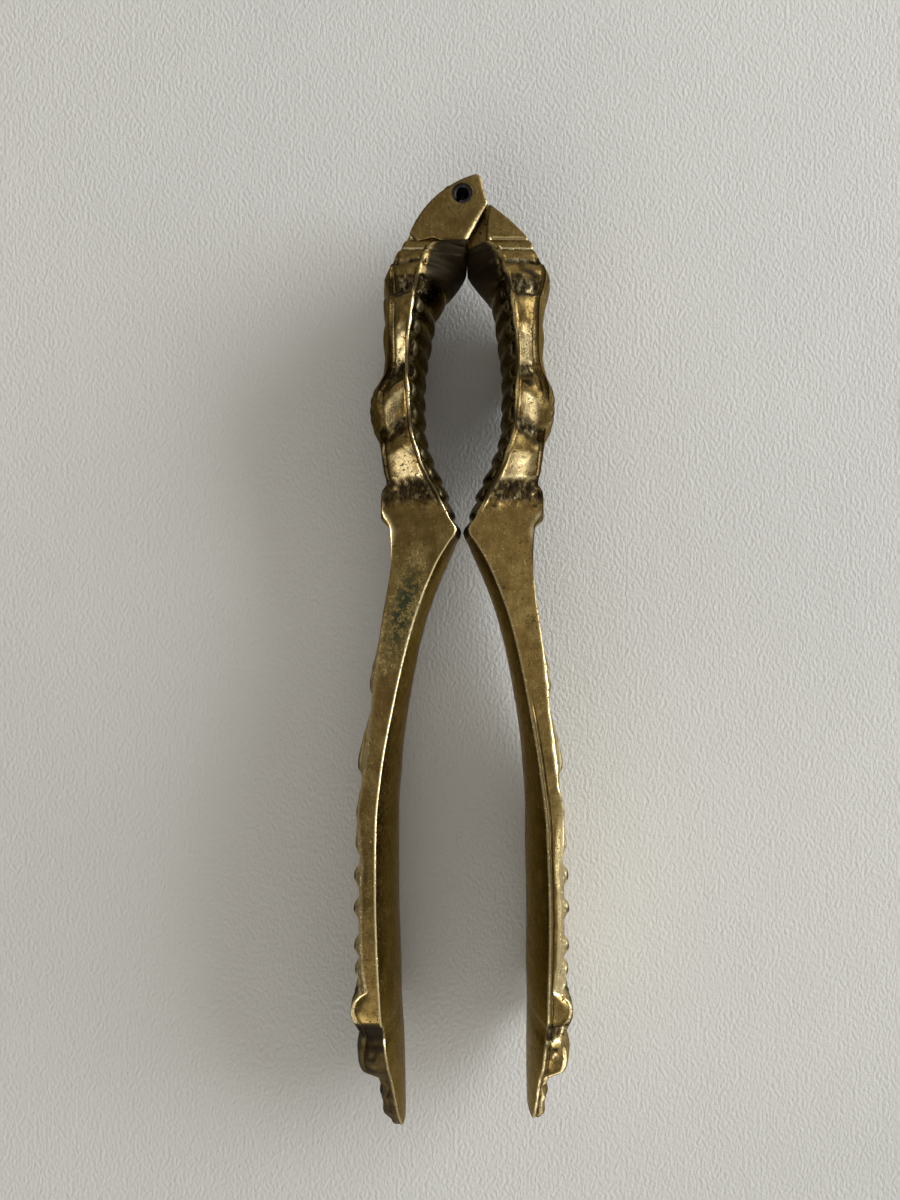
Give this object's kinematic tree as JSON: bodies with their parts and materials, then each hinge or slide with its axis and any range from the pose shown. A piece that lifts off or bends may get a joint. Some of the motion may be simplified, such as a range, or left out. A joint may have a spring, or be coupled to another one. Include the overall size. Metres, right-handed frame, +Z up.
{
  "type": "lever nutcracker",
  "caption": "Hinged cast-brass lever nutcracker with ribbed jaws around an almond-shaped nut space, bowed handles with relief on the outside, and a slotted spring pin.",
  "frame": {"origin": "middle of the underside of the closed nutcracker's box, on the surface it lies on; the hinge pin's axis is 72 mm from it along +Y", "axes": "+Y from the handles towards the hinge, +Z up along the hinge pin, +X towards the tongued arm"},
  "size_m": [0.0338, 0.15, 0.025],
  "materials": {
    "fork_brass": "aged, satin on the worn sides, dark patina in the recesses",
    "tongue_brass": "aged, satin on the worn sides, dark patina in the recesses",
    "pin_steel": "dull, darkened by age and grime"
  },
  "bodies": {
    "fork_body": {"left_arm": "fork_brass", "hinge_pin": "pin_steel"},
    "tongue_body": {"right_arm": "tongue_brass"}
  },
  "joints": [
    {"name": "arm_hinge", "type": "hinge", "parent": "fork_body", "child": "tongue_body", "pos_m": [0, 0.072, 0.0125], "axis": [0, 0, 1], "range_deg": [0, 180]}
  ]
}
